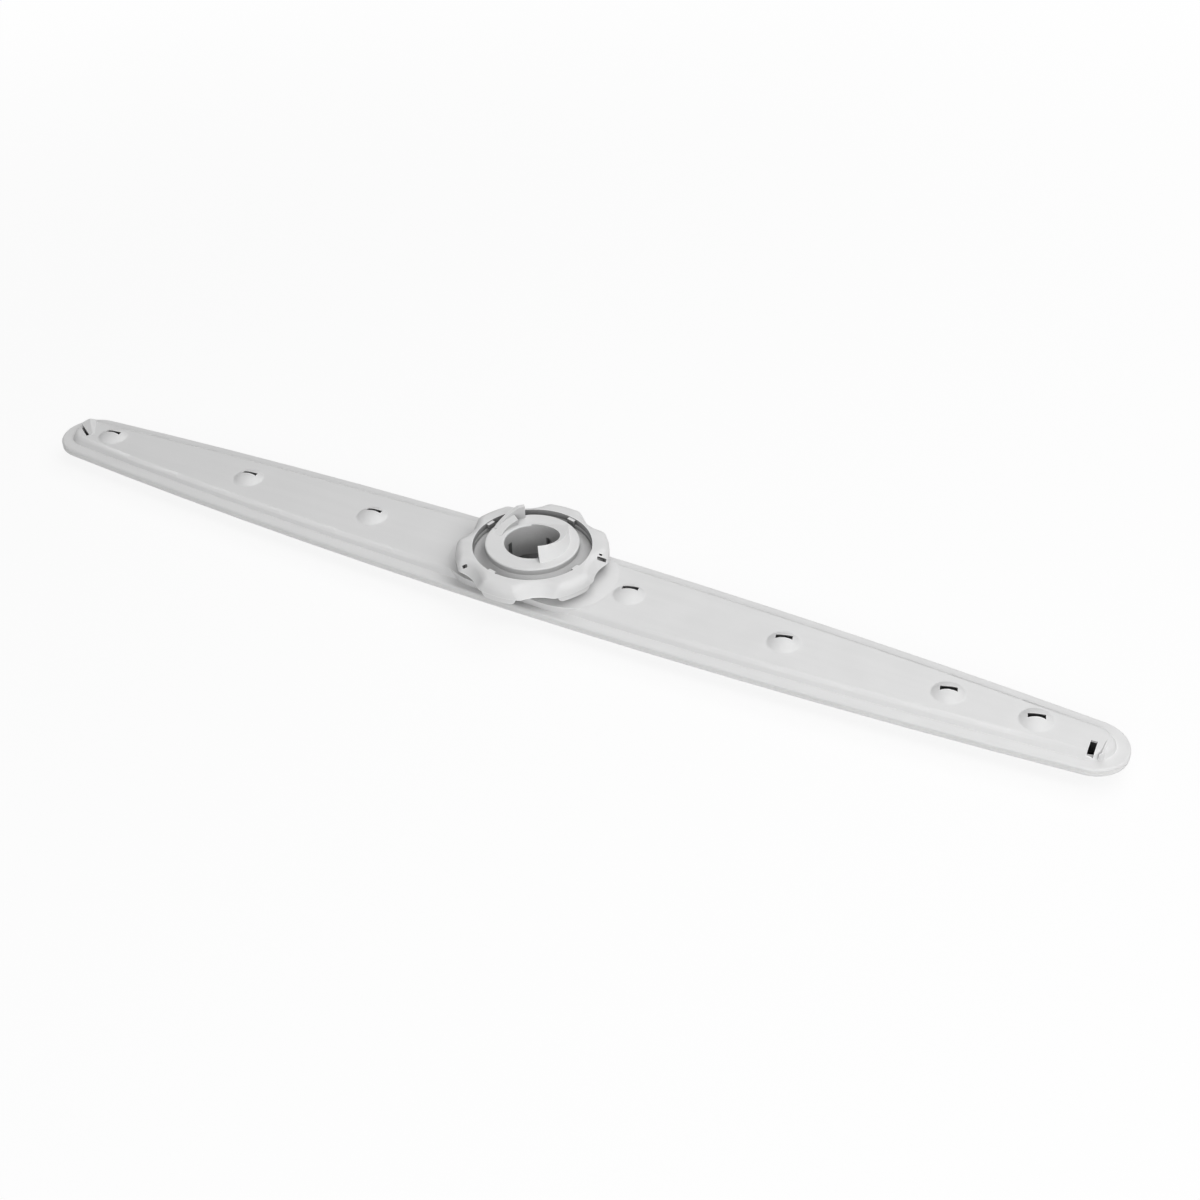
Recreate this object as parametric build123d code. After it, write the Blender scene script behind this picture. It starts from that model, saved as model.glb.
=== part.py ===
from build123d import *
import os
from math import atan2, cos, hypot, pi, radians, sin, sqrt

# Dishwasher spray arm. Millimetres, +Z up. The origin is on the hub axis, on the surface that the arm lies
# on, and +X runs along the arm to the end with the open drive slot.

# Outline and shells
ARM_LENGTH = 459.0
ARM_WIDTH = 44.5
TIP_RADIUS = 13.3
WALL = 1.8
RIM_WIDTH = 4.6
RIM_THICKNESS = 1.6
RIM_TOP_ROUND = 0.9
RIM_FOOT_ROUND = 0.5
RIM_END_EXTRA = 0.3
SEAM_CHAMFER = 0.4
UPPER_RISE = 2.6
UPPER_DRAFT = 1.6
UPPER_EDGE_ROUND = 2.4
LOWER_DEPTH = 5.8
LOWER_DRAFT = 3.4
LOWER_EDGE_ROUND = 1.5

# Swelling of the channel under the hub, its sides in distances from the side of the arm
SWELL_LENGTH = 72.0
SWELL_INSET = 3.05
SWELL_END_INSET = 8.25
SWELL_SHOULDER = 2.7
SWELL_CROWN = 5.6
SWELL_FLANK_LENGTH = 32.0
SWELL_FLANK_CROWN = 5.0
SWELL_END_DROP = 0.1
SWELL_STATIONS = 4

# Bearing hub, heights above the top of the rim
BORE_RADIUS = 10.64
TUBE_WALL = 2.0
TUBE_END = 0.5
DISC_RADIUS = 18.05
DISC_TOP = 14.1
DISC_THICKNESS = 2.5
BELL_RADIUS = 22.3
BELL_DROP = 3.0
BELL_WALL = 1.6
BELL_LIP = 0.5
BELL_SAG = 0.3
HUB_EDGE_ROUND = 0.6
FINGER_COUNT = 4
FINGER_SLOT_WIDTH = 2.2
FINGER_SLOT_TOP = 9.0
FINGER_SLOT_ANGLE = 84.0
BARB_REACH = 1.1
BARB_HEIGHT = 1.1
BARB_LEAD = 0.5

# Cams on the disc
CAM_HEIGHT = 5.3
CAM_OUTER_RADIUS = 17.4
CAM_WALL = 1.6
CAM_START_ANGLE = 129.0
CAM_END_ANGLE = 177.0
CAM_SLOPE = 0.45
CAM_FOOT = 7.3
LEDGE_INNER_RADIUS = 12.3
LEDGE_START_ANGLE = 145.0
LEDGE_END_ANGLE = 190.0
LEDGE_RISE = 2.5
CONE_FOOT_RADIUS = 14.3
CONE_TIP_RADIUS = 10.8
CONE_START_ANGLE = -49.0
CONE_END_ANGLE = 30.0
CONE_FALL_Y = 0.228
CONE_RISE_X = 0.081
TAIL_LENGTH = 14.0

# Bearing dish and collar of the upper shell, heights above the top of the rim
RUNNING_GAP = 0.35
THRUST_GAP = 0.3
COLLAR_WALL = 1.4
COLLAR_RELIEF = 1.5
COLLAR_LOWER_LAND = 1.2
COLLAR_UPPER_LAND = 2.1
DISH_CLEARANCE = 0.8
DISH_TOP = 10.4
DISH_EDGE = 2.4
DISH_EDGE_ROUND = 0.6
DISH_WALL = 1.5
DISH_FLOOR = 4.6
DISH_FLOOR_THICKNESS = 2.0

# Retaining ring
RING_CLEARANCE = 0.5
RING_BAND = 1.8
RING_THICKNESS = 2.5
RING_EDGE_ROUND = 3.2
LOBE_COUNT = 6
LOBE_ANGLE = 32.2
LOBE_CORNER_ROUND = 4.0
LOBE_DEPTH = 4.45
SCALLOP_RADIUS = 15.0
SKIRT_WALL = 2.4
SKIRT_LENGTH = 2.4
LEG_WIDTH = 14.0
LEG_LENGTH = 4.6
LEG_CORNER_ROUND = 2.0
LEG_SETBACK = 0.3
HOOK_REACH = 1.0
CLIP_GAP = 0.25
TAB_COUNT = 4
TAB_ANGLE = 76.0
TAB_REACH = 1.4
TAB_WIDTH = 3.2
TAB_DROP = 0.4

# Fan nozzles: distance along the arm, then the slit's turn, its place behind the middle and its width
NOZZLES = (
    (-205.0, 9.0, 1.0, 1.1),
    (-134.0, 9.0, 1.5, 1.1),
    (-73.5, 9.0, 2.0, 1.1),
    (41.0, 17.0, 2.7, 1.6),
    (103.5, 17.0, 1.4, 1.6),
    (165.5, 17.0, 0.7, 1.6),
    (196.8, 17.0, 0.5, 1.6),
)
DOME_RADIUS = 6.0
DOME_HEIGHT = 2.0
DOME_BLEND = 1.8
DOME_WALL = 0.9
SLIT_LENGTH = 6.2
SLIT_FLARE = 3.0

# Drive slots near the tips, each beside a wedge-shaped hood, in distances from the tip
OPEN_SLOT_INSET = 12.1
OPEN_SLOT_SIDE = -4.6
OPEN_SLOT_TURN = 3.0
OPEN_SLOT_WIDTH = 2.3
OPEN_SLOT_LENGTH = 6.6
OPEN_HOOD_INSET = 7.2
OPEN_HOOD_SIDE = -8.4
OPEN_HOOD_TURN = 96.0
OPEN_HOOD_LENGTH = 9.2
OPEN_HOOD_RUN = 1.2
OPEN_HOOD_RISE = 0.7
OPEN_HOOD_BACK = 0.8
SHUT_HOOD_INSET = 4.7
SHUT_HOOD_SIDE = 2.7
SHUT_HOOD_TURN = -32.0
SHUT_HOOD_LENGTH = 12.0
SHUT_HOOD_RUN = 4.1
SHUT_HOOD_RISE = 1.0
SHUT_HOOD_BACK = 3.0
SHUT_SLOT_START = 0.3
SHUT_SLOT_SIDE = -0.6
SHUT_SLOT_LENGTH = 11.4
SHUT_SLOT_WIDTH = 1.3
SLOT_LIP = 0.8
HOOD_END_SHARE = 0.3

# Levels above the resting surface
seam_z = LOWER_DEPTH + RIM_THICKNESS
rim_z = seam_z + RIM_THICKNESS
top_z = rim_z + UPPER_RISE
roof_z = top_z - WALL
dish_top_z = rim_z + DISH_TOP
dish_edge_z = dish_top_z - DISH_EDGE
dish_floor_z = rim_z + DISH_FLOOR
dish_under_z = dish_floor_z - DISH_FLOOR_THICKNESS
disc_z = rim_z + DISC_TOP
disc_under_z = disc_z - DISC_THICKNESS
tube_end_z = rim_z + TUBE_END
barb_z = tube_end_z + BARB_HEIGHT
collar_top_z = disc_under_z - THRUST_GAP
collar_end_z = barb_z + THRUST_GAP
cam_top_z = disc_z + CAM_HEIGHT

# Radii that fit one another
tube_radius = BORE_RADIUS + TUBE_WALL
collar_inner = tube_radius + RUNNING_GAP
relief_radius = collar_inner + COLLAR_RELIEF
collar_outer = relief_radius + COLLAR_WALL
neck_radius = ARM_WIDTH / 2 - SWELL_INSET
dish_inner = BELL_RADIUS + DISH_CLEARANCE
dish_radius = dish_inner + DISH_WALL
dish_flare = (dish_edge_z - rim_z - SWELL_SHOULDER) / (dish_radius - neck_radius)
ring_inner = BELL_RADIUS + RING_CLEARANCE
scallop_floor = ring_inner + RING_BAND
leg_inner = dish_radius + CLIP_GAP
skirt_radius = leg_inner + SKIRT_WALL
lobe_radius = leg_inner + LOBE_DEPTH

FAR = 500.0
BURY = 1.0
ON_FLOOR = (Align.CENTER, Align.CENTER, Align.MIN)
FROM_AXIS = (Align.MIN, Align.CENTER, Align.MIN)


def outline(inset, z, end_extra=0.0):
    """Arm outline pulled in by an inset, and further at the tips: two side arcs tangent to two tip arcs."""
    reach = ARM_LENGTH / 2 - TIP_RADIUS - end_extra
    half = ARM_WIDTH / 2
    side = (reach**2 + half**2 - TIP_RADIUS**2) / (2 * (half - TIP_RADIUS))
    drop = side - half
    span = hypot(reach, drop)
    touch_x = (side - inset) * reach / span
    touch_y = (side - inset) * drop / span - drop
    side_y = half - inset
    tip_x = ARM_LENGTH / 2 - inset - end_extra
    edges = [
        ThreePointArc((-touch_x, touch_y), (0, side_y), (touch_x, touch_y)),
        ThreePointArc((touch_x, touch_y), (tip_x, 0), (touch_x, -touch_y)),
        ThreePointArc((touch_x, -touch_y), (0, -side_y), (-touch_x, -touch_y)),
        ThreePointArc((-touch_x, -touch_y), (-tip_x, 0), (-touch_x, touch_y)),
    ]
    return Pos(0, 0, z) * make_face(edges)


def tapered(inset_a, z_a, inset_b, z_b):
    """Channel-shaped solid between two insets of the outline at two heights."""
    return loft([outline(inset_a, z_a, RIM_END_EXTRA), outline(inset_b, z_b, RIM_END_EXTRA)], ruled=True)


def crowned(x, half, base_z, shoulder_z, crown_z):
    """Cross-section with upright sides under a crown."""
    plane = Plane(origin=(x, 0, 0), x_dir=(0, 1, 0), z_dir=(1, 0, 0))
    edges = [
        Line((-half, base_z), (-half, shoulder_z)),
        ThreePointArc((-half, shoulder_z), (0, crown_z), (half, shoulder_z)),
        Line((half, shoulder_z), (half, base_z)),
        Line((half, base_z), (-half, base_z)),
    ]
    return plane * make_face(edges)


def swelling(offset, base_z):
    """Crowned swelling of the channel that fades into the flat top, pulled in by an offset."""
    full = neck_radius - offset
    end = ARM_WIDTH / 2 - SWELL_END_INSET - offset
    flank_x = SWELL_FLANK_LENGTH / 2
    shoulder_z = rim_z + SWELL_SHOULDER - offset
    flank_z = rim_z + SWELL_FLANK_CROWN - offset
    end_z = top_z - SWELL_END_DROP - offset
    edge_z = end_z - SWELL_END_DROP
    side = []
    for i in range(SWELL_STATIONS + 1):
        along = i / SWELL_STATIONS
        left = cos(along * pi / 2) ** 2
        x = flank_x + along * (SWELL_LENGTH / 2 - flank_x)
        half = end + left * (full - end)
        side.append((x, half, edge_z + left * (shoulder_z - edge_z), end_z + left * (flank_z - end_z)))
    middle = (0, full, shoulder_z, rim_z + SWELL_CROWN - offset)
    stations = [(-x, *rest) for x, *rest in reversed(side)] + [middle] + side
    return loft([crowned(x, half, base_z, shoulder, crown) for x, half, shoulder, crown in stations])


def turned(*points):
    """Solid of revolution about the hub axis from radius and height pairs."""
    return revolve(Plane.XZ * make_face(Polyline(*points, close=True)), Axis.Z)


def rod(radius, z_a, z_b):
    return Pos(0, 0, z_a) * Cylinder(radius, z_b - z_a, align=ON_FLOOR)


def sector(inner, outer, start, end, z_a, z_b):
    """Part of an upright tube between two angles."""
    face = Plane.XZ * make_face(Polyline((inner, z_a), (outer, z_a), (outer, z_b), (inner, z_b), close=True))
    return Rot(0, 0, start) * revolve(face, Axis.Z, revolution_arc=end - start)


def above(point, normal):
    """Block on the far side of a plane."""
    return Plane(origin=point, z_dir=normal) * Box(FAR, FAR, FAR, align=ON_FLOOR)


def nozzle_dome():
    """Low dome with a blended foot, and its hollow underside."""
    ball = (DOME_RADIUS**2 + DOME_HEIGHT**2) / (2 * DOME_HEIGHT)
    apex_z = top_z + DOME_HEIGHT
    ball_z = apex_z - ball
    blend_z = top_z + DOME_BLEND
    blend_x = sqrt((ball + DOME_BLEND) ** 2 - (blend_z - ball_z) ** 2)
    lean = atan2(blend_z - ball_z, blend_x)
    touch = (ball * cos(lean), ball_z + ball * sin(lean))
    flank = (lean + pi / 2) / 2
    hollow = lean / 2 + radians(225)
    edges = [
        Polyline((0, apex_z), (0, roof_z), (blend_x, roof_z), (blend_x, top_z)),
        ThreePointArc(
            (blend_x, top_z), (blend_x + DOME_BLEND * cos(hollow), blend_z + DOME_BLEND * sin(hollow)), touch
        ),
        ThreePointArc(touch, (ball * cos(flank), ball_z + ball * sin(flank)), (0, apex_z)),
    ]
    dome = revolve(Plane.XZ * make_face(edges), Axis.Z)
    under = Pos(0, 0, ball_z) * Sphere(ball - DOME_WALL) & rod(ball, roof_z - BURY, apex_z)
    return dome, under


def nozzle_slit(width):
    """Block along X that cuts a slit, wider towards the inside."""
    half = width / 2
    foot = half + SLIT_FLARE
    apex_z = top_z + DOME_HEIGHT
    points = ((-half, apex_z), (half, apex_z), (foot, roof_z), (-foot, roof_z))
    return extrude(Plane.YZ * make_face(Polyline(*points, close=True)), SLIT_LENGTH / 2, both=True)


def hood(run, rise, back, length):
    """Wedge along +X that shrinks as it goes, its face climbing from a foot line at Y = 0."""
    sections = []
    for x, share in ((0, 1), (length, HOOD_END_SHARE)):
        crest = share * run
        tail = share * (run + back)
        points = ((0, rim_z), (0, top_z), (crest, top_z + share * rise), (tail, top_z), (tail, rim_z))
        sections.append(Plane.YZ.offset(x) * make_face(Polyline(*points, close=True)))
    return loft(sections, ruled=True)


def build_lower_shell():
    flange = extrude(outline(0, LOWER_DEPTH), RIM_THICKNESS)
    flange = fillet(flange.faces().sort_by(Axis.Z)[0].edges(), RIM_FOOT_ROUND)
    flange = chamfer(flange.faces().sort_by(Axis.Z)[-1].edges(), SEAM_CHAMFER)
    tray = tapered(RIM_WIDTH, LOWER_DEPTH, RIM_WIDTH + LOWER_DRAFT, 0)
    tray = fillet(tray.faces().sort_by(Axis.Z)[0].edges(), LOWER_EDGE_ROUND)
    inside = RIM_WIDTH + WALL
    return flange + tray - tapered(inside, seam_z, inside + LOWER_DRAFT, WALL)


def build_upper_shell():
    flange = extrude(outline(0, seam_z), RIM_THICKNESS)
    flange = fillet(flange.faces().sort_by(Axis.Z)[-1].edges(), RIM_TOP_ROUND)
    flange = chamfer(flange.faces().sort_by(Axis.Z)[0].edges(), SEAM_CHAMFER)
    channel = tapered(RIM_WIDTH, rim_z, RIM_WIDTH + UPPER_DRAFT, top_z)
    channel = fillet(channel.faces().sort_by(Axis.Z)[-1].edges(), UPPER_EDGE_ROUND)
    neck = turned(
        (0, rim_z),
        (neck_radius, rim_z),
        (neck_radius, rim_z + SWELL_SHOULDER),
        (dish_radius, dish_edge_z),
        (dish_radius, dish_top_z),
        (0, dish_top_z),
    )
    neck = fillet(neck.faces().sort_by(Axis.Z)[-1].edges(), DISH_EDGE_ROUND)
    shell = flange + channel + swelling(0, rim_z - BURY) + neck

    inside = RIM_WIDTH + WALL
    hollow = tapered(inside, seam_z, inside + UPPER_DRAFT, roof_z) + swelling(WALL, rim_z)
    hollow += rod(neck_radius - WALL, seam_z, dish_under_z)

    tip_x = ARM_LENGTH / 2
    footprint = extrude(outline(RIM_WIDTH, rim_z, RIM_END_EXTRA), UPPER_RISE + ARM_WIDTH)
    open_place = Pos(tip_x - OPEN_HOOD_INSET, OPEN_HOOD_SIDE, 0) * Rot(0, 0, OPEN_HOOD_TURN)
    shut_place = Pos(SHUT_HOOD_INSET - tip_x, SHUT_HOOD_SIDE, 0) * Rot(0, 0, SHUT_HOOD_TURN)
    open_hood = hood(OPEN_HOOD_RUN, OPEN_HOOD_RISE, OPEN_HOOD_BACK, OPEN_HOOD_LENGTH)
    shut_hood = hood(SHUT_HOOD_RUN, SHUT_HOOD_RISE, SHUT_HOOD_BACK, SHUT_HOOD_LENGTH)
    shell += open_place * open_hood & footprint
    shell += shut_place * shut_hood & footprint

    dome, under = nozzle_dome()
    for x, *_ in NOZZLES:
        shell += Pos(x, 0, 0) * dome
    shell -= hollow
    for x, turn, behind, width in NOZZLES:
        shell -= Pos(x, 0, 0) * under
        shell -= Pos(x, 0, 0) * Rot(0, 0, turn) * Pos(0, behind, 0) * nozzle_slit(width)

    open_slot = Pos(tip_x - OPEN_SLOT_INSET, OPEN_SLOT_SIDE, rim_z) * Rot(0, 0, OPEN_SLOT_TURN)
    shut_slot = shut_place * Pos(SHUT_SLOT_START, SHUT_SLOT_SIDE, rim_z)
    shell -= open_slot * Box(OPEN_SLOT_WIDTH, OPEN_SLOT_LENGTH, FAR, align=ON_FLOOR)
    shell -= shut_slot * Box(SHUT_SLOT_LENGTH, SHUT_SLOT_WIDTH, FAR, align=FROM_AXIS)
    lip = RIM_WIDTH + SLOT_LIP
    thinned = tapered(lip, rim_z, lip + UPPER_DRAFT, top_z - SLOT_LIP)
    shell -= open_slot * Box(2 * OPEN_SLOT_WIDTH, 2 * OPEN_SLOT_LENGTH, FAR, align=ON_FLOOR) & thinned
    shell -= shut_slot * Box(SHUT_SLOT_LENGTH, 2 * SHUT_SLOT_WIDTH, FAR, align=FROM_AXIS) & thinned

    shell -= turned(
        (0, dish_floor_z),
        (dish_inner - (dish_edge_z - dish_floor_z) / dish_flare, dish_floor_z),
        (dish_inner, dish_edge_z),
        (dish_inner, dish_top_z),
        (0, dish_top_z),
    )
    lower_land_z = collar_end_z + COLLAR_LOWER_LAND
    upper_land_z = collar_top_z - COLLAR_UPPER_LAND
    shell += rod(collar_outer, collar_end_z, collar_top_z)
    return shell - turned(
        (0, collar_end_z),
        (collar_inner, collar_end_z),
        (collar_inner, lower_land_z),
        (relief_radius, lower_land_z + COLLAR_RELIEF),
        (relief_radius, upper_land_z - COLLAR_RELIEF),
        (collar_inner, upper_land_z),
        (collar_inner, collar_top_z),
        (0, collar_top_z),
    )


def scalloped(floor_radius, z):
    """Round plate with a scallop between each two lobes."""
    plate = Circle(lobe_radius)
    for i in range(LOBE_COUNT):
        notch = Pos(floor_radius + SCALLOP_RADIUS, 0) * Circle(SCALLOP_RADIUS)
        plate -= Rot(0, 0, LOBE_ANGLE + (i + 0.5) * 360 / LOBE_COUNT) * notch
    return Pos(0, 0, z) * fillet(plate.vertices(), LOBE_CORNER_ROUND)


def build_retaining_ring():
    ring_top_z = dish_top_z + RING_THICKNESS
    skirt_end_z = dish_top_z - SKIRT_LENGTH
    ring = loft([scalloped(skirt_radius, skirt_end_z), scalloped(scallop_floor, ring_top_z)], ruled=True)
    ring = fillet(ring.faces().sort_by(Axis.Z)[-1].edges(), RING_EDGE_ROUND)
    ring -= rod(ring_inner, dish_top_z, ring_top_z)
    ring -= rod(leg_inner, skirt_end_z, dish_top_z)

    leg_end_z = dish_top_z - LEG_LENGTH
    leg_outer = lobe_radius - LEG_SETBACK
    hook_radius = leg_inner - HOOK_REACH
    legs = turned(
        (leg_inner, skirt_end_z + BURY),
        (leg_inner, dish_edge_z - CLIP_GAP),
        (hook_radius, dish_edge_z - CLIP_GAP - dish_flare * HOOK_REACH),
        (hook_radius, leg_end_z),
        (leg_outer, leg_end_z),
        (leg_outer, skirt_end_z + BURY),
    )
    pad = Pos(0, 0, leg_end_z) * Box(lobe_radius, LEG_WIDTH, LEG_LENGTH, align=FROM_AXIS)
    pad = fillet(pad.faces().sort_by(Axis.Z)[0].edges().filter_by(Axis.X), LEG_CORNER_ROUND)
    for i in range(LOBE_COUNT):
        ring += Rot(0, 0, LOBE_ANGLE + i * 360 / LOBE_COUNT) * pad & legs

    tab = Box(TAB_REACH + RING_BAND / 2, TAB_WIDTH, RING_THICKNESS - TAB_DROP, align=FROM_AXIS)
    for i in range(TAB_COUNT):
        ring += Rot(0, 0, TAB_ANGLE + i * 360 / TAB_COUNT) * Pos(ring_inner - TAB_REACH, 0, dish_top_z) * tab
    return ring


def bell_profile():
    """Half-section of the hub: bored tube with barbs, disc and flared bell."""
    bell_end_z = disc_under_z - BELL_DROP
    lip_z = bell_end_z + BELL_LIP
    bell_inner = DISC_RADIUS - BELL_WALL
    skirt_inner = BELL_RADIUS - BELL_WALL
    flare = BELL_SAG * (BELL_RADIUS - DISC_RADIUS)
    outer_dip = (DISC_RADIUS + flare, lip_z + BELL_SAG * (disc_under_z - lip_z))
    inner_dip = (bell_inner + flare, bell_end_z + BELL_SAG * BELL_DROP)
    edges = [
        Polyline((skirt_inner, bell_end_z), (BELL_RADIUS, bell_end_z), (BELL_RADIUS, lip_z)),
        ThreePointArc((BELL_RADIUS, lip_z), outer_dip, (DISC_RADIUS, disc_under_z)),
        Polyline(
            (DISC_RADIUS, disc_under_z),
            (DISC_RADIUS, disc_z),
            (BORE_RADIUS, disc_z),
            (BORE_RADIUS, tube_end_z),
            (tube_radius - BARB_LEAD, tube_end_z),
            (tube_radius + BARB_REACH, barb_z - BARB_LEAD),
            (tube_radius + BARB_REACH, barb_z),
            (tube_radius, barb_z),
            (tube_radius, disc_under_z),
            (bell_inner, disc_under_z),
        ),
        ThreePointArc((bell_inner, disc_under_z), inner_dip, (skirt_inner, bell_end_z)),
    ]
    return Plane.XZ * make_face(edges)


def build_bearing_hub():
    hub = revolve(bell_profile(), Axis.Z)
    hub = fillet(hub.faces().sort_by(Axis.Z)[-1].edges(), HUB_EDGE_ROUND)

    slot = Box(tube_radius + BARB_REACH + BURY, FINGER_SLOT_WIDTH, FINGER_SLOT_TOP, align=FROM_AXIS)
    for i in range(FINGER_COUNT):
        hub -= Rot(0, 0, FINGER_SLOT_ANGLE + i * 360 / FINGER_COUNT) * Pos(0, 0, rim_z) * slot

    cam_inner = CAM_OUTER_RADIUS - CAM_WALL
    cam_base_z = disc_z - BURY
    cam_middle = radians((CAM_START_ANGLE + CAM_END_ANGLE) / 2)
    uphill = (sin(cam_middle), -cos(cam_middle))
    cam = sector(cam_inner, CAM_OUTER_RADIUS, CAM_START_ANGLE, CAM_END_ANGLE, cam_base_z, cam_top_z)
    cam_foot = (-CAM_FOOT * uphill[0], -CAM_FOOT * uphill[1], disc_z)
    cam -= above(cam_foot, (-CAM_SLOPE * uphill[0], -CAM_SLOPE * uphill[1], 1))

    ledge_middle = radians((LEDGE_START_ANGLE + LEDGE_END_ANGLE) / 2)
    along = (sin(ledge_middle), -cos(ledge_middle))
    ledge_radius = (LEDGE_INNER_RADIUS + cam_inner) / 2
    ledge_half = ledge_radius * sin(radians((LEDGE_END_ANGLE - LEDGE_START_ANGLE) / 2))
    ledge_slope = LEDGE_RISE / (2 * ledge_half)
    ledge = sector(LEDGE_INNER_RADIUS, cam_inner, LEDGE_START_ANGLE, LEDGE_END_ANGLE, cam_base_z, cam_top_z)
    ledge_foot = (-ledge_half * along[0], -ledge_half * along[1], disc_z)
    ledge -= above(ledge_foot, (-ledge_slope * along[0], -ledge_slope * along[1], 1))

    section = Plane.XZ * make_face(
        Polyline(
            (0, cam_base_z),
            (CONE_FOOT_RADIUS, cam_base_z),
            (CONE_FOOT_RADIUS, disc_z),
            (CONE_TIP_RADIUS, cam_top_z),
            (0, cam_top_z),
            close=True,
        )
    )
    wrap = revolve(section, Axis.Z, revolution_arc=CONE_END_ANGLE - CONE_START_ANGLE)
    tail = extrude(section, TAIL_LENGTH, dir=(0, 1, 0))
    crest = radians(CONE_START_ANGLE)
    crest_point = (BORE_RADIUS * cos(crest), BORE_RADIUS * sin(crest), cam_top_z)
    cone = Rot(0, 0, CONE_START_ANGLE) * wrap + Rot(0, 0, CONE_END_ANGLE) * tail
    cone &= rod(CAM_OUTER_RADIUS, cam_base_z, cam_top_z)
    cone -= above(crest_point, (-CONE_RISE_X, CONE_FALL_Y, 1))
    cone -= rod(BORE_RADIUS, cam_base_z, cam_top_z)
    return hub + cam + ledge + cone


NODES = {
    "lower_shell": build_lower_shell,
    "upper_shell": build_upper_shell,
    "retaining_ring": build_retaining_ring,
    "bearing_hub": build_bearing_hub,
}

os.makedirs("parts", exist_ok=True)
for name, build in NODES.items():
    export_step(build(), f"parts/{name}.step")
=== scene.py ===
from math import atan2, cos, pi, radians, sin

import bmesh
import bpy
from bpy.props import BoolProperty, FloatProperty, FloatVectorProperty, IntProperty, PointerProperty
from mathutils import Matrix, Vector
from mathutils.bvhtree import BVHTree


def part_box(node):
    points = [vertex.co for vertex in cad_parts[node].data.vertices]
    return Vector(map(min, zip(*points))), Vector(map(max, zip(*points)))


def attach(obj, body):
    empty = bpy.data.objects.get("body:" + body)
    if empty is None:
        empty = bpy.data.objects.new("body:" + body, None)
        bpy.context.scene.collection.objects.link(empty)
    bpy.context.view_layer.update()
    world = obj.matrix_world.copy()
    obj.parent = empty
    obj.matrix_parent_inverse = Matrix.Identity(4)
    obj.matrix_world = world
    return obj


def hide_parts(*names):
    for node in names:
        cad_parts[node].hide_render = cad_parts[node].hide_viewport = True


bl_info = {
    "name": "Dishwasher Spray Arm",
    "version": (1, 0, 0),
    "blender": (4, 5, 0),
    "location": "View3D > Sidebar > Spray Arm",
    "description": "Finishes and lights a moulded dishwasher spray arm with a bayonet hub",
    "category": "Object",
}

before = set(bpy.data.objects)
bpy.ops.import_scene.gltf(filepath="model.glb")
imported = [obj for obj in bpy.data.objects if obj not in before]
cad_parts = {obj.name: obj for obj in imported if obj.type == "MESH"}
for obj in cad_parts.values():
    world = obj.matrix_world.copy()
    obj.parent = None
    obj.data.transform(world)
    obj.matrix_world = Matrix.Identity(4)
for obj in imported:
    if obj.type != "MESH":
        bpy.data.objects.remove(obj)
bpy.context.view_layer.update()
shell_high = Vector(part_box("lower_shell")[1])

# Clouds, flow streaks and the painted highlight along edges, as shares of the plastic's colour
CLOUD_SHARES = (0.965, 1.02)
STREAK_SHARES = (0.99, 1.006)
EDGE_HIGHLIGHT_SHARE = 1.3

# Noise values at the two ends of the streaks' and the gloss patches' ranges
STREAK_NOISE = (0.35, 0.65)
PATCH_NOISE = (0.3, 0.7)

# How far a patch's roughness lies from the mean
ROUGHNESS_SPREAD = 0.06

# Detail of the noises
CLOUD_DETAIL = 3.0
PATCH_DETAIL = 4.0
FINE_DETAIL = 2.0

# Cosine between the true and the rounded normal where the painted edge highlight is strongest, and where
# there is none
EDGE_COSINES = (0.70, 0.97)

# Open share of the sky where an edge gets no painted highlight yet, and where it gets the most
EDGE_OPENNESS = (0.55, 0.8)

# Rays that look for the walls of a recess for its painted shade, and for edges for their painted highlight
PAINTED_SHADE_SAMPLES = 8
EDGE_SAMPLES = 4

# Depth of the sinks and of the grain at full strength, in metres
SINK_DEPTH = 0.002
GRAIN_DEPTH = 0.0002

PLASTIC_IOR = 1.49
PLASTIC_SPECULAR = 0.45

# Sockets of a colour Mix node, by number because their names repeat
MIX_FACTOR = 0
MIX_FIRST = 6
MIX_SECOND = 7
MIX_RESULT = 2

# Slots in the ring's scallops, in millimetres: place, direction, length, height
RING_SLOTS = (
    ((26.6, 5.9, 19.5), (2.5, 2.8, -2.4), 4.6, 1.4),
    ((25.8, 6.6, 21.0), (2.5, 2.8, -2.4), 1.4, 0.8),
    ((-17.2, -21.25, 19.6), (-1.4, -0.3, -0.9), 2.4, 1.3),
)
MM_PER_METRE = 1000.0

# Corners of the ring's loose triangles that lie nearer than this, in metres, are joined
MERGE_DISTANCE = 1e-6

# Bevel profile that makes a round corner
ROUND_PROFILE = 0.5

# Lamps of the studio: place, width and depth in metres, and power in watts
LAMPS = {
    "overhead": ((0.15, 0.0, 1.3), (1.4, 1.0), 6.6),
    "right": ((1.0, -0.1, 1.0), (0.5, 0.9), 6.0),
    "front": ((0.5, -1.1, 0.65), (1.0, 0.6), 8.6),
    "back": ((0.15, 0.95, 1.0), (1.4, 0.5), 5.4),
}

# White paper that the arm lies on: half its side and its drop below the arm, in metres
FLOOR_HALF = 4.0
FLOOR_DROP = 0.0002
PAPER_COLOUR = (0.9, 0.9, 0.9, 1.0)
PAPER_ROUGHNESS = 0.9
WHITE = (1.0, 1.0, 1.0, 1.0)

# Width of the camera's frame in millimetres
SENSOR_WIDTH = 36.0


def span_property(darkest, unshaded):
    """Setting for how open a recess may be and still get painted shade."""
    return FloatVectorProperty(
        name="Recess Span",
        description="Open share of the sky where a recess is darkest, and where it is no longer dark",
        size=2,
        min=0.0,
        max=1.0,
        default=(darkest, unshaded),
    )


def shade_property(share):
    """Setting for how dark the painted shade of a recess is at its deepest."""
    return FloatProperty(
        name="Recess Shade",
        description="Share of the colour that is left deep in a recess",
        subtype="FACTOR",
        min=0.0,
        max=1.0,
        default=share,
    )


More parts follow.
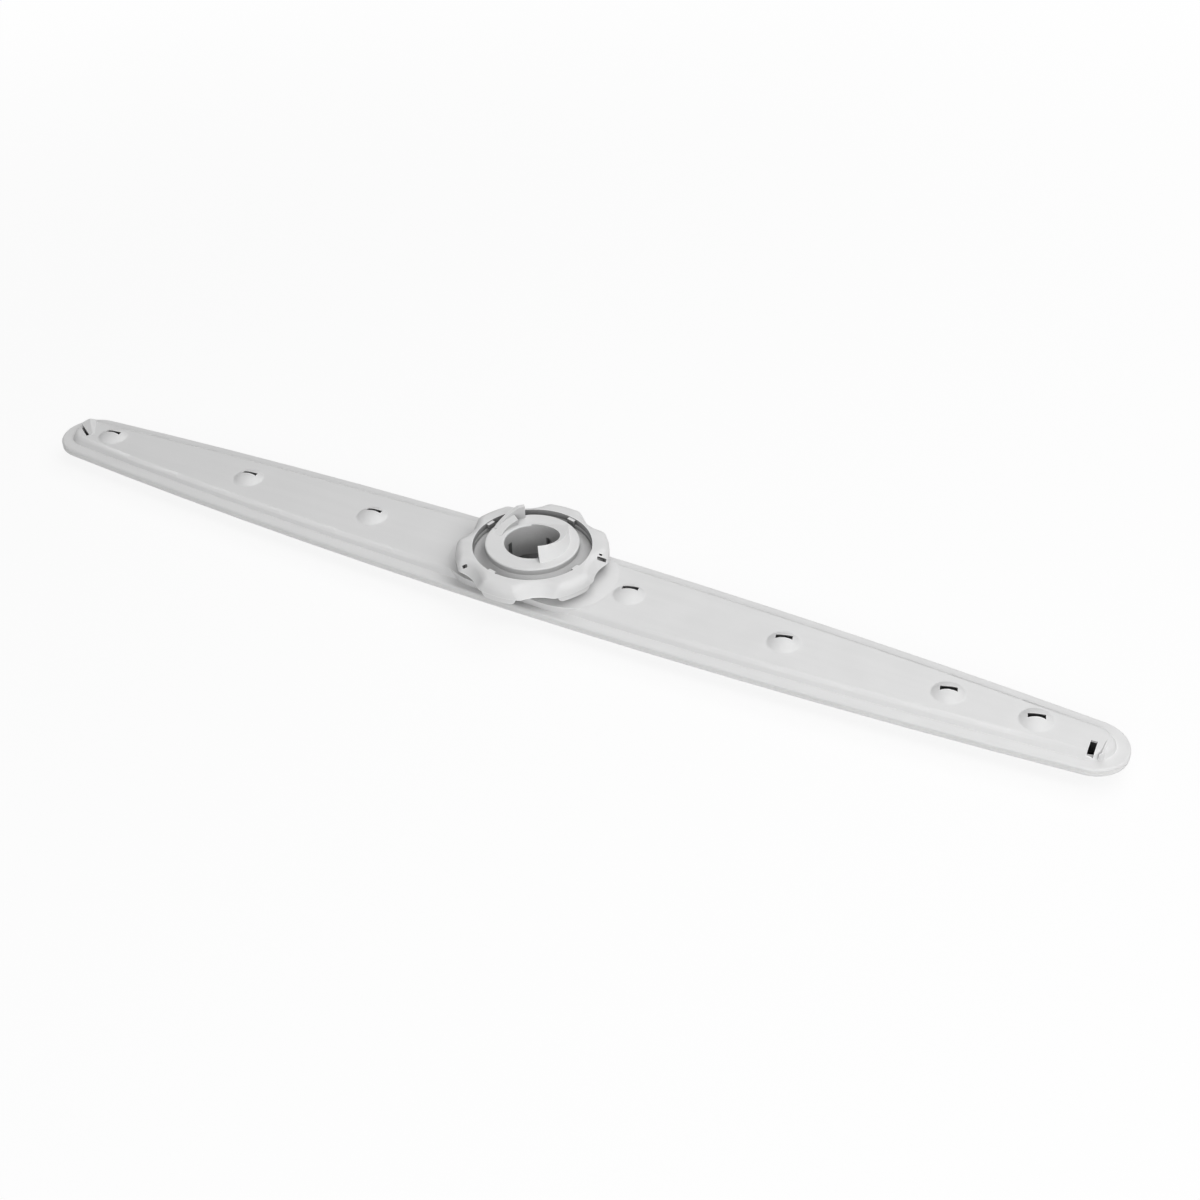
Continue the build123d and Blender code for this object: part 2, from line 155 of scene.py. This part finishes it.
def own_property(own):
    """Setting for which walls cast the painted shade of a recess."""
    return BoolProperty(
        name="Own Recesses",
        description="Only the part's own walls keep the light out, and not its neighbours",
        default=own,
    )


class PlasticFinish:
    """Satin moulded plastic, as far as it is the same on every part of the arm"""

    colour: FloatVectorProperty(
        name="Colour",
        description="Light grey of the plastic",
        subtype="COLOR",
        size=3,
        min=0.0,
        max=1.0,
        default=(0.70, 0.70, 0.70),
    )
    roughness: FloatProperty(
        name="Roughness",
        description="Mean roughness of the satin skin",
        subtype="FACTOR",
        min=0.0,
        max=1.0,
        default=0.46,
    )
    cloud_scale: FloatProperty(
        name="Cloud Scale",
        description="Clouds of the colour to the metre",
        min=0.0,
        default=28.0,
    )
    patch_scale: FloatProperty(
        name="Patch Scale",
        description="Glossier and duller patches to the metre",
        min=0.0,
        default=90.0,
    )
    streak_scale: FloatProperty(
        name="Streak Scale",
        description="Flow streaks of the moulding to the metre, across the arm",
        min=0.0,
        default=260.0,
    )
    streak_stretch: FloatProperty(
        name="Streak Stretch",
        description="How many times longer than wide a flow streak is",
        min=1.0,
        default=14.0,
    )
    # Painted shade: reach of the walls that darken the colour of a recess
    painted_shade_reach: FloatProperty(
        name="Recess Reach",
        description="How near the walls of a recess must be to keep the light out",
        unit="LENGTH",
        min=0.0,
        default=0.026,
    )
    # Painted highlight: this and the next setting give the width and the lightness of the light line
    # painted along open edges
    edge_width: FloatProperty(
        name="Edge Width",
        description="Width of the polished line along the edges",
        unit="LENGTH",
        min=0.0,
        default=0.0007,
    )
    painted_edge_highlight: FloatProperty(
        name="Painted Edge Highlight",
        description="How light the polished edges are",
        subtype="FACTOR",
        min=0.0,
        max=1.0,
        default=1.0,
    )
    sink_scale: FloatProperty(
        name="Sink Scale",
        description="Shallow sinks of the surface to the metre",
        min=0.0,
        default=60.0,
    )
    sink_strength: FloatProperty(
        name="Sink Strength",
        description="How strongly the shallow sinks show",
        subtype="FACTOR",
        min=0.0,
        max=1.0,
        default=0.03,
    )
    grain_scale: FloatProperty(
        name="Grain Scale",
        description="Grains of the mould's skin to the metre",
        min=0.0,
        default=2600.0,
    )
    grain_strength: FloatProperty(
        name="Grain Strength",
        description="How strongly the mould's grain shows",
        subtype="FACTOR",
        min=0.0,
        max=1.0,
        default=0.06,
    )


class ShellFinish(PlasticFinish, bpy.types.PropertyGroup):
    """Plastic of the upper shell, with shade painted into its colour where its own walls enclose it"""

    painted_shade_span: span_property(0.05, 0.52)
    painted_recess_shade: shade_property(0.10)
    painted_shade_own_walls: own_property(True)


class TrayFinish(PlasticFinish, bpy.types.PropertyGroup):
    """Plastic of the lower shell, with shade painted into its colour in the closed water channel behind
    the slits
    """

    painted_shade_span: span_property(0.02, 0.25)
    painted_recess_shade: shade_property(0.10)
    painted_shade_own_walls: own_property(False)


class RingFinish(PlasticFinish, bpy.types.PropertyGroup):
    """Plastic of the lobed ring, with shade painted into its colour in its slots and inside its edge"""

    painted_shade_span: span_property(0.05, 0.78)
    painted_recess_shade: shade_property(0.10)
    painted_shade_own_walls: own_property(False)


class HubFinish(PlasticFinish, bpy.types.PropertyGroup):
    """Plastic of the bearing hub, with shade painted into its colour in its bore and beside the ring"""

    painted_shade_span: span_property(0.05, 0.78)
    painted_recess_shade: shade_property(0.30)
    painted_shade_own_walls: own_property(False)


class RingSlot(bpy.types.PropertyGroup):
    """Small slots in the scallops of the lobed ring"""

    depth: FloatProperty(
        name="Depth",
        description="How deep a slot goes into the ring",
        unit="LENGTH",
        min=0.0,
        default=0.0016,
    )
    clear: FloatProperty(
        name="Clear",
        description="How far the cut stands out over the ring's curved wall",
        unit="LENGTH",
        min=0.0,
        default=0.0012,
    )
    roundness: FloatProperty(
        name="Roundness",
        description="Corner radius of a slot as a share of its height",
        subtype="FACTOR",
        min=0.0,
        max=0.49,
        default=0.35,
    )
    corner_steps: IntProperty(
        name="Corner Steps",
        description="Faces round each corner of a slot",
        min=1,
        default=4,
    )
    sharp_angle: FloatProperty(
        name="Sharp Angle",
        description="Angle between faces past which an edge of the ring is sharp",
        subtype="ANGLE",
        default=radians(32.0),
    )


class WeldBead(bpy.types.PropertyGroup):
    """Bead of plastic that the weld squeezed into the seam of the rim"""

    tip_radius: FloatProperty(
        name="Tip Radius",
        description="Radius of the arm's rounded ends",
        unit="LENGTH",
        default=0.0133,
    )
    radius: FloatProperty(
        name="Radius",
        description="Mean radius of the bead",
        unit="LENGTH",
        default=0.00028,
    )
    inset: FloatProperty(
        name="Inset",
        description="From the rim's edge in to the middle of the bead",
        unit="LENGTH",
        default=0.00034,
    )
    unevenness: FloatProperty(
        name="Unevenness",
        description="How far the bead swells and thins along the seam",
        unit="LENGTH",
        default=0.00004,
    )
    grain: FloatProperty(
        name="Grain",
        description="Swellings of the bead to the metre",
        min=1.0,
        default=120.0,
    )
    seed: FloatProperty(
        name="Seed",
        description="Choice of the swellings",
        default=3.0,
    )
    side_steps: IntProperty(
        name="Side Steps",
        description="Points along each side of the rim",
        min=16,
        default=240,
    )
    tip_steps: IntProperty(
        name="Tip Steps",
        description="Points round each end of the rim",
        min=8,
        default=40,
    )
    sides: IntProperty(
        name="Sides",
        description="Corners of the bead's round section",
        min=5,
        default=8,
    )


class StudioSettings(bpy.types.PropertyGroup):
    """Camera, floor and light"""

    azimuth: FloatProperty(
        name="Azimuth",
        description="Camera's turn to the right of the arm's long side",
        subtype="ANGLE",
        default=radians(27.92),
    )
    elevation: FloatProperty(
        name="Elevation",
        description="Camera's height over the arm",
        subtype="ANGLE",
        default=radians(37.72),
    )
    roll: FloatProperty(
        name="Roll",
        description="Camera's turn about its own axis",
        subtype="ANGLE",
        default=radians(-0.71),
    )
    distance: FloatProperty(
        name="Distance",
        description="From the aimed point to the camera",
        unit="LENGTH",
        default=0.6772,
    )
    aim_height: FloatProperty(
        name="Aim Height",
        description="Height on the hub's axis that the aimed point is measured from",
        unit="LENGTH",
        default=0.009,
    )
    aim_right: FloatProperty(
        name="Aim Right",
        description="Aimed point, to the right of the hub in the picture",
        unit="LENGTH",
        default=0.02553,
    )
    aim_up: FloatProperty(
        name="Aim Up",
        description="Aimed point, above the hub in the picture",
        unit="LENGTH",
        default=-0.01109,
    )
    lens: FloatProperty(
        name="Lens",
        description="Focal length of the camera",
        unit="CAMERA",
        default=52.94,
    )
    room_light: FloatProperty(
        name="Room Light",
        description="Strength of the even light from all sides",
        min=0.0,
        default=0.01,
    )
    shadow: FloatProperty(
        name="Shadow",
        description="How much of the object's shadow the white floor shows",
        subtype="FACTOR",
        min=0.0,
        max=1.0,
        default=0.12,
    )
    fade: FloatVectorProperty(
        name="Fade",
        description="Distance from the hub where the floor begins to fade to white, and where it is white",
        size=2,
        unit="LENGTH",
        min=0.0,
        default=(0.25, 0.9),
    )


def feed(tree, socket, value):
    """Give a socket its value, which is another socket or a constant."""
    if isinstance(value, bpy.types.NodeSocket):
        tree.links.new(value, socket)
    else:
        socket.default_value = value


def calculated(tree, operation, first, second):
    """Result of a Math node on two values, each a socket or a number."""
    node = tree.nodes.new("ShaderNodeMath")
    node.operation = operation
    feed(tree, node.inputs[0], first)
    feed(tree, node.inputs[1], second)
    return node.outputs[0]


def noise(tree, scale, detail, coordinates, stretch=1.0):
    """Noise on Object coordinates, drawn out along the arm by the stretch."""
    node = tree.nodes.new("ShaderNodeTexNoise")
    node.inputs["Scale"].default_value = scale
    node.inputs["Detail"].default_value = detail
    drawn = tree.nodes.new("ShaderNodeMapping")
    drawn.inputs["Scale"].default_value = (1.0 / stretch, 1.0, 1.0)
    tree.links.new(coordinates.outputs["Object"], drawn.inputs["Vector"])
    tree.links.new(drawn.outputs["Vector"], node.inputs["Vector"])
    return node.outputs["Fac"]


def remap(tree, value, source, target):
    """Value carried smoothly from one range to another, and held at its ends."""
    node = tree.nodes.new("ShaderNodeMapRange")
    node.interpolation_type = "SMOOTHSTEP"
    node.inputs["From Min"].default_value, node.inputs["From Max"].default_value = source
    node.inputs["To Min"].default_value, node.inputs["To Max"].default_value = target
    tree.links.new(value, node.inputs["Value"])
    return node.outputs["Result"]


def blended(tree, blend, factor, first, second):
    """Mix of two colours; each colour and the factor is a socket or a constant."""
    node = tree.nodes.new("ShaderNodeMix")
    node.data_type = "RGBA"
    node.blend_type = blend
    for number, value in ((MIX_FACTOR, factor), (MIX_FIRST, first), (MIX_SECOND, second)):
        feed(tree, node.inputs[number], value)
    return node.outputs[MIX_RESULT]


def toned(colour, share):
    """Share of a colour, at most white, with full alpha."""
    return (*(min(1.0, share * part) for part in colour), 1.0)


def edge_cosine(tree, width):
    """Cosine between the surface's normal and one that is rounded over the edges."""
    rounded = tree.nodes.new("ShaderNodeBevel")
    rounded.samples = EDGE_SAMPLES
    rounded.inputs["Radius"].default_value = width
    surface = tree.nodes.new("ShaderNodeNewGeometry")
    across = tree.nodes.new("ShaderNodeVectorMath")
    across.operation = "DOT_PRODUCT"
    tree.links.new(rounded.outputs["Normal"], across.inputs[0])
    tree.links.new(surface.outputs["Normal"], across.inputs[1])
    return across.outputs["Value"]


def plastic_colour(tree, finish, coordinates):
    """Colour with clouds and flow streaks, with painted shade in recesses and a painted highlight along
    open edges.
    """
    cloud = noise(tree, finish.cloud_scale, CLOUD_DETAIL, coordinates)
    dark, light = (toned(finish.colour, share) for share in CLOUD_SHARES)
    clouded = blended(tree, "MIX", cloud, dark, light)
    streaks = noise(tree, finish.streak_scale, FINE_DETAIL, coordinates, finish.streak_stretch)
    streak = remap(tree, streaks, STREAK_NOISE, STREAK_SHARES)
    streaked = blended(tree, "MULTIPLY", 1.0, clouded, streak)

    # Painted shade: an Ambient Occlusion node darkens the colour where walls enclose the surface, in
    # recesses, slots, the bore and between parts
    sky = tree.nodes.new("ShaderNodeAmbientOcclusion")
    sky.samples = PAINTED_SHADE_SAMPLES
    sky.only_local = finish.painted_shade_own_walls
    sky.inputs["Distance"].default_value = finish.painted_shade_reach
    openness = sky.outputs["AO"]
    recess = remap(tree, openness, finish.painted_shade_span, (finish.painted_recess_shade, 1.0))
    painted_shaded_colour = blended(tree, "MULTIPLY", 1.0, streaked, recess)

    # Painted highlight: open edges are mixed towards a lighter tone of the colour, as light lines along
    # them
    cosine = edge_cosine(tree, finish.edge_width)
    edge = remap(tree, cosine, EDGE_COSINES, (finish.painted_edge_highlight, 0.0))
    exposed = remap(tree, openness, EDGE_OPENNESS, (0.0, 1.0))
    polished = calculated(tree, "MULTIPLY", edge, exposed)
    return blended(tree, "MIX", polished, painted_shaded_colour, toned(finish.colour, EDGE_HIGHLIGHT_SHARE))


def plastic_roughness(tree, finish, coordinates):
    """Roughness with glossier and duller patches."""
    patches = noise(tree, finish.patch_scale, PATCH_DETAIL, coordinates)
    glossiest, dullest = finish.roughness - ROUGHNESS_SPREAD, finish.roughness + ROUGHNESS_SPREAD
    return remap(tree, patches, PATCH_NOISE, (glossiest, dullest))


def plastic_relief(tree, finish, coordinates):
    """Normal of the moulded skin, with its grain over its shallow sinks."""
    sinks = tree.nodes.new("ShaderNodeBump")
    sinks.inputs["Strength"].default_value = finish.sink_strength
    sinks.inputs["Distance"].default_value = SINK_DEPTH
    tree.links.new(noise(tree, finish.sink_scale, FINE_DETAIL, coordinates), sinks.inputs["Height"])
    grain = tree.nodes.new("ShaderNodeBump")
    grain.inputs["Strength"].default_value = finish.grain_strength
    grain.inputs["Distance"].default_value = GRAIN_DEPTH
    tree.links.new(noise(tree, finish.grain_scale, FINE_DETAIL, coordinates), grain.inputs["Height"])
    tree.links.new(sinks.outputs["Normal"], grain.inputs["Normal"])
    return grain.outputs["Normal"]


def moulded_plastic(name, finish):
    """Satin injection-moulded plastic of one part."""
    material = bpy.data.materials.new(name)
    material.use_nodes = True
    tree = material.node_tree
    shader = tree.nodes["Principled BSDF"]
    coordinates = tree.nodes.new("ShaderNodeTexCoord")
    tree.links.new(plastic_colour(tree, finish, coordinates), shader.inputs["Base Color"])
    tree.links.new(plastic_roughness(tree, finish, coordinates), shader.inputs["Roughness"])
    tree.links.new(plastic_relief(tree, finish, coordinates), shader.inputs["Normal"])
    shader.inputs["IOR"].default_value = PLASTIC_IOR
    shader.inputs["Specular IOR Level"].default_value = PLASTIC_SPECULAR
    return material


def dress(piece, material):
    """Give a piece one material."""
    piece.data.materials.clear()
    piece.data.materials.append(material)


def evaluated_mesh(source):
    """Plain mesh that an object's modifiers make."""
    bpy.context.view_layer.update()
    graph = bpy.context.evaluated_depsgraph_get()
    return bpy.data.meshes.new_from_object(source.evaluated_get(graph), depsgraph=graph)


class SPRAYARM_OT_shells(bpy.types.Operator):
    """Give the two welded half shells their satin plastic"""

    bl_idname = "spray_arm.shells"
    bl_label = "Finish Shells"

    def execute(self, context):
        scene = context.scene
        dress(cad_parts["upper_shell"], moulded_plastic("shell_plastic", scene.shell_finish))
        dress(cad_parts["lower_shell"], moulded_plastic("lower_shell_plastic", scene.tray_finish))
        return {"FINISHED"}


class SPRAYARM_OT_hub(bpy.types.Operator):
    """Give the hub and the lobed ring their satin plastic"""

    bl_idname = "spray_arm.hub"
    bl_label = "Finish Hub and Ring"

    def execute(self, context):
        scene = context.scene
        ring_plastic = moulded_plastic("retaining_ring_plastic", scene.ring_finish)
        dress(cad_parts["retaining_ring"], ring_plastic)
        hub_plastic = moulded_plastic("bearing_hub_plastic", scene.hub_finish)
        dress(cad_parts["bearing_hub"], hub_plastic)
        return {"FINISHED"}


def slot_block(sizes, length, height):
    """Block that cuts one slot, with rounded corners and its outer face at Z = 0, as a BMesh."""
    block = bmesh.new()
    bmesh.ops.create_cube(block, size=1.0)
    bmesh.ops.translate(block, vec=(0.0, 0.0, -0.5), verts=block.verts)
    bmesh.ops.scale(block, vec=(length, height, sizes.depth + sizes.clear), verts=block.verts)
    corners = [edge for edge in block.edges if edge.verts[0].co.z != edge.verts[1].co.z]
    bmesh.ops.bevel(
        block,
        geom=corners,
        offset=sizes.roundness * height,
        segments=sizes.corner_steps,
        profile=ROUND_PROFILE,
        affect="EDGES",
    )
    return block


def slot_cutter(sizes, surface):
    """Object made of a block for each slot, set across the surface of the ring."""
    joined = bmesh.new()
    for place, direction, length, height in RING_SLOTS:
        point, normal, _, _ = surface.find_nearest(Vector(place) / MM_PER_METRE)
        along = Vector(direction)
        along = (along - normal * along.dot(normal)).normalized()
        turn = Matrix((along, normal.cross(along), normal)).transposed().to_4x4()
        block = slot_block(sizes, length / MM_PER_METRE, height / MM_PER_METRE)
        block.transform(Matrix.Translation(point + normal * sizes.clear) @ turn)
        mesh = bpy.data.meshes.new("slot_block")
        block.to_mesh(mesh)
        block.free()
        joined.from_mesh(mesh)
        bpy.data.meshes.remove(mesh)
    mesh = bpy.data.meshes.new("slot_cutter")
    joined.to_mesh(mesh)
    joined.free()
    cutter = bpy.data.objects.new("slot_cutter", mesh)
    bpy.context.scene.collection.objects.link(cutter)
    return cutter


def merged_copy(name, node):
    """Object with a node's loose triangles joined, and without the normals that they carry."""
    shape = bmesh.new()
    shape.from_mesh(node.data)
    bmesh.ops.remove_doubles(shape, verts=shape.verts, dist=MERGE_DISTANCE)
    mesh = bpy.data.meshes.new(name)
    shape.to_mesh(mesh)
    shape.free()
    carried = mesh.attributes.get("custom_normal")
    if carried:
        mesh.attributes.remove(carried)
    piece = bpy.data.objects.new(name, mesh)
    bpy.context.scene.collection.objects.link(piece)
    return piece


class SPRAYARM_OT_ring_slots(bpy.types.Operator):
    """Cut the small slots into a copy of the lobed ring, which stands for the plain one"""

    bl_idname = "spray_arm.ring_slots"
    bl_label = "Cut Ring Slots"

    def execute(self, context):
        sizes = context.scene.ring_slot
        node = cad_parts["retaining_ring"]
        surface = BVHTree.FromObject(node, context.evaluated_depsgraph_get())
        cutter = slot_cutter(sizes, surface)
        piece = merged_copy("lobed_ring", node)
        plain = piece.data
        slots = piece.modifiers.new("slots", "BOOLEAN")
        slots.operation = "DIFFERENCE"
        slots.solver = "EXACT"
        slots.object = cutter
        slotted = evaluated_mesh(piece)
        piece.modifiers.clear()
        piece.data = slotted
        bpy.data.objects.remove(cutter)
        if len(slotted.polygons) <= len(plain.polygons):
            raise RuntimeError("the ring's slots were not cut")
        slotted.shade_smooth()
        slotted.set_sharp_from_angle(angle=sizes.sharp_angle)
        dress(piece, bpy.data.materials["retaining_ring_plastic"])
        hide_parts("retaining_ring")
        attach(piece, "arm")
        return {"FINISHED"}


def seam_path(bead):
    """Points round the seam of the rim: two side arcs that meet two tip arcs."""
    tip = bead.tip_radius
    reach = shell_high.x - tip
    half = shell_high.y
    side = (reach**2 + half**2 - tip**2) / (2 * (half - tip))
    drop = side - half
    turn = atan2(reach, drop)
    arcs = (
        (0.0, -drop, side, pi / 2 - turn, pi / 2 + turn, bead.side_steps),
        (-reach, 0.0, tip, pi / 2 + turn, 3 * pi / 2 - turn, bead.tip_steps),
        (0.0, drop, side, 3 * pi / 2 - turn, 3 * pi / 2 + turn, bead.side_steps),
        (reach, 0.0, tip, turn - pi / 2, pi / 2 - turn, bead.tip_steps),
    )
    points = []
    for x, y, radius, start, end, steps in arcs:
        near = radius - bead.inset
        for i in range(steps):
            angle = start + (end - start) * i / steps
            points.append((x + near * cos(angle), y + near * sin(angle), shell_high.z))
    return points


def bead_tree(material):
    """Geometry nodes that sweep an uneven round bead along a curve."""
    tree = bpy.data.node_groups.new("weld_bead", "GeometryNodeTree")
    face = tree.interface
    face.new_socket("Geometry", in_out="INPUT", socket_type="NodeSocketGeometry")
    for name in ("Radius", "Unevenness", "Grain", "Seed"):
        face.new_socket(name, in_out="INPUT", socket_type="NodeSocketFloat")
    face.new_socket("Sides", in_out="INPUT", socket_type="NodeSocketInt")
    face.new_socket("Geometry", in_out="OUTPUT", socket_type="NodeSocketGeometry")
    new, link = tree.nodes.new, tree.links.new
    given = new("NodeGroupInput").outputs

    place = new("GeometryNodeInputPosition")
    lumps = new("ShaderNodeTexNoise")
    lumps.noise_dimensions = "4D"
    link(place.outputs["Position"], lumps.inputs["Vector"])
    link(given["Grain"], lumps.inputs["Scale"])
    link(given["Seed"], lumps.inputs["W"])
    size = new("ShaderNodeMapRange")
    link(lumps.outputs["Fac"], size.inputs["Value"])
    for socket, operation in (("To Min", "SUBTRACT"), ("To Max", "ADD")):
        limit = calculated(tree, operation, given["Radius"], given["Unevenness"])
        link(limit, size.inputs[socket])

    thick = new("GeometryNodeSetCurveRadius")
    link(given["Geometry"], thick.inputs["Curve"])
    link(size.outputs["Result"], thick.inputs["Radius"])
    profile = new("GeometryNodeCurvePrimitiveCircle")
    profile.inputs["Radius"].default_value = 1.0
    link(given["Sides"], profile.inputs["Resolution"])
    sweep = new("GeometryNodeCurveToMesh")
    link(thick.outputs["Curve"], sweep.inputs["Curve"])
    link(profile.outputs["Curve"], sweep.inputs["Profile Curve"])
    radius = new("GeometryNodeInputRadius")
    link(radius.outputs["Radius"], sweep.inputs["Scale"])
    smooth = new("GeometryNodeSetShadeSmooth")
    link(sweep.outputs["Mesh"], smooth.inputs["Geometry"])
    real = new("GeometryNodeRealizeInstances")
    link(smooth.outputs["Geometry"], real.inputs["Geometry"])
    dressed = new("GeometryNodeSetMaterial")
    dressed.inputs["Material"].default_value = material
    link(real.outputs["Geometry"], dressed.inputs["Geometry"])
    link(dressed.outputs["Geometry"], new("NodeGroupOutput").inputs["Geometry"])
    return tree


def grown(name, source, tree, values):
    """Mesh object that a node tree makes from a source object, which is then removed."""
    modifier = source.modifiers.new(name, "NODES")
    modifier.node_group = tree
    for item in tree.interface.items_tree:
        if item.in_out == "INPUT" and item.name in values:
            modifier[item.identifier] = values[item.name]
    mesh = evaluated_mesh(source)
    if not mesh.polygons:
        raise RuntimeError(f"{name} came out empty")
    source.modifiers.clear()
    bpy.data.objects.remove(source)
    piece = bpy.data.objects.new(name, mesh)
    bpy.context.scene.collection.objects.link(piece)
    return piece


class SPRAYARM_OT_weld_bead(bpy.types.Operator):
    """Lay the bead of squeezed-out plastic along the welded seam"""

    bl_idname = "spray_arm.weld_bead"
    bl_label = "Lay Weld Bead"

    def execute(self, context):
        bead = context.scene.weld_bead
        points = seam_path(bead)
        path = bpy.data.curves.new("seam_path", "CURVE")
        path.dimensions = "3D"
        spline = path.splines.new("POLY")
        spline.points.add(len(points) - 1)
        for point, place in zip(spline.points, points):
            point.co = (*place, 1.0)
        spline.use_cyclic_u = True
        source = bpy.data.objects.new("seam_path", path)
        context.scene.collection.objects.link(source)
        material = bpy.data.materials["shell_plastic"]
        values = {
            "Radius": bead.radius,
            "Unevenness": bead.unevenness,
            "Grain": bead.grain,
            "Seed": bead.seed,
            "Sides": bead.sides,
        }
        piece = grown("weld_bead", source, bead_tree(material), values)
        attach(piece, "arm")
        return {"FINISHED"}


def seen_white(tree, lit, share):
    """Shader that the camera, reflections and refractions see as white, by a share, and other rays as lit.

    The share is a socket or a number.
    """
    path = tree.nodes.new("ShaderNodeLightPath")
    seen = path.outputs["Is Camera Ray"]
    for ray in ("Is Glossy Ray", "Is Transmission Ray"):
        seen = calculated(tree, "MAXIMUM", seen, path.outputs[ray])
    part = calculated(tree, "MULTIPLY", seen, share)
    white = tree.nodes.new("ShaderNodeEmission")
    white.inputs["Color"].default_value = WHITE
    white.inputs["Strength"].default_value = 1.0
    mix = tree.nodes.new("ShaderNodeMixShader")
    tree.links.new(part, mix.inputs["Fac"])
    tree.links.new(lit, mix.inputs[1])
    tree.links.new(white.outputs["Emission"], mix.inputs[2])
    return mix.outputs["Shader"]


def white_paper(studio):
    """Paper that shows a faint shadow near the arm and fades to white away from it."""
    paper = bpy.data.materials.new("white_paper")
    paper.use_nodes = True
    tree = paper.node_tree
    lit = tree.nodes["Principled BSDF"]
    lit.inputs["Base Color"].default_value = PAPER_COLOUR
    lit.inputs["Roughness"].default_value = PAPER_ROUGHNESS
    coordinates = tree.nodes.new("ShaderNodeTexCoord")
    away = tree.nodes.new("ShaderNodeVectorMath")
    away.operation = "LENGTH"
    tree.links.new(coordinates.outputs["Object"], away.inputs[0])
    share = remap(tree, away.outputs["Value"], studio.fade, (1.0 - studio.shadow, 1.0))
    shown = seen_white(tree, lit.outputs["BSDF"], share)
    tree.links.new(shown, tree.nodes["Material Output"].inputs["Surface"])
    return paper


def lay_floor(scene, studio):
    """Lay the white paper under the arm."""
    mesh = bpy.data.meshes.new("floor")
    signs = ((-1, -1), (1, -1), (1, 1), (-1, 1))
    corners = [(x * FLOOR_HALF, y * FLOOR_HALF, 0.0) for x, y in signs]
    mesh.from_pydata(corners, [], [(0, 1, 2, 3)])
    mesh.materials.append(white_paper(studio))
    floor = bpy.data.objects.new("floor", mesh)
    floor.location.z = -FLOOR_DROP
    scene.collection.objects.link(floor)


def paint_world(scene, studio):
    """Surround the arm with white that gives only a little light."""
    world = bpy.data.worlds.new("studio")
    scene.world = world
    world.use_nodes = True
    tree = world.node_tree
    room = tree.nodes["Background"]
    room.inputs["Color"].default_value = WHITE
    room.inputs["Strength"].default_value = studio.room_light
    shown = seen_white(tree, room.outputs["Background"], 1.0)
    tree.links.new(shown, tree.nodes["World Output"].inputs["Surface"])


def hang_lamps(scene):
    """Hang the lamps, each turned to the foot of the hub's axis."""
    for name, (place, size, power) in LAMPS.items():
        lamp = bpy.data.lights.new(name, "AREA")
        lamp.shape = "RECTANGLE"
        lamp.size, lamp.size_y = size
        lamp.energy = power
        holder = bpy.data.objects.new(name, lamp)
        holder.location = place
        holder.rotation_euler = (-Vector(place)).to_track_quat("-Z", "Y").to_euler()
        scene.collection.objects.link(holder)


def set_camera(scene, studio):
    """Set the camera above the arm, to the right of its long side, aimed a little past the hub."""
    turn, lift = studio.azimuth, studio.elevation
    back = Vector((sin(turn) * cos(lift), -cos(turn) * cos(lift), sin(lift)))
    level = Vector((cos(turn), sin(turn), 0.0))
    upright = back.cross(level)
    right = level * cos(studio.roll) + upright * sin(studio.roll)
    up = upright * cos(studio.roll) - level * sin(studio.roll)
    aim = Vector((0.0, 0.0, studio.aim_height)) + right * studio.aim_right + up * studio.aim_up
    data = bpy.data.cameras.new("camera")
    data.lens = studio.lens
    data.sensor_width = SENSOR_WIDTH
    camera = bpy.data.objects.new("camera", data)
    camera.matrix_world = Matrix((right, up, back)).transposed().to_4x4()
    camera.location = aim + back * studio.distance
    scene.collection.objects.link(camera)
    scene.camera = camera


class SPRAYARM_OT_stage(bpy.types.Operator):
    """Set up the floor, the world, the lamps and the camera"""

    bl_idname = "spray_arm.stage"
    bl_label = "Set Stage"

    def execute(self, context):
        scene = context.scene
        scene.view_settings.view_transform = "Standard"
        lay_floor(scene, scene.studio)
        paint_world(scene, scene.studio)
        hang_lamps(scene)
        set_camera(scene, scene.studio)
        return {"FINISHED"}


SETTINGS = {
    "shell_finish": ShellFinish,
    "tray_finish": TrayFinish,
    "ring_finish": RingFinish,
    "hub_finish": HubFinish,
    "ring_slot": RingSlot,
    "weld_bead": WeldBead,
    "studio": StudioSettings,
}

OPERATORS = (
    SPRAYARM_OT_shells,
    SPRAYARM_OT_hub,
    SPRAYARM_OT_ring_slots,
    SPRAYARM_OT_weld_bead,
    SPRAYARM_OT_stage,
)


class SPRAYARM_PT_panel(bpy.types.Panel):
    """Spray arm's finishing steps"""

    bl_idname = "SPRAYARM_PT_panel"
    bl_label = "Spray Arm"
    bl_space_type = "VIEW_3D"
    bl_region_type = "UI"
    bl_category = "Spray Arm"

    def draw(self, context):
        for group in SETTINGS:
            settings = getattr(context.scene, group)
            for name in settings.bl_rna.properties.keys():
                if name not in {"rna_type", "name"}:
                    self.layout.prop(settings, name)
        for operator in OPERATORS:
            self.layout.operator(operator.bl_idname)


CLASSES = (*SETTINGS.values(), *OPERATORS, SPRAYARM_PT_panel)


def register():
    for cls in CLASSES:
        bpy.utils.register_class(cls)
    for name, group in SETTINGS.items():
        setattr(bpy.types.Scene, name, PointerProperty(type=group))


def unregister():
    for name in reversed(SETTINGS):
        delattr(bpy.types.Scene, name)
    for cls in reversed(CLASSES):
        bpy.utils.unregister_class(cls)


def main():
    register()
    bpy.ops.spray_arm.shells()
    bpy.ops.spray_arm.hub()
    bpy.ops.spray_arm.ring_slots()
    bpy.ops.spray_arm.weld_bead()
    bpy.ops.spray_arm.stage()


if __name__ == "__main__":
    main()
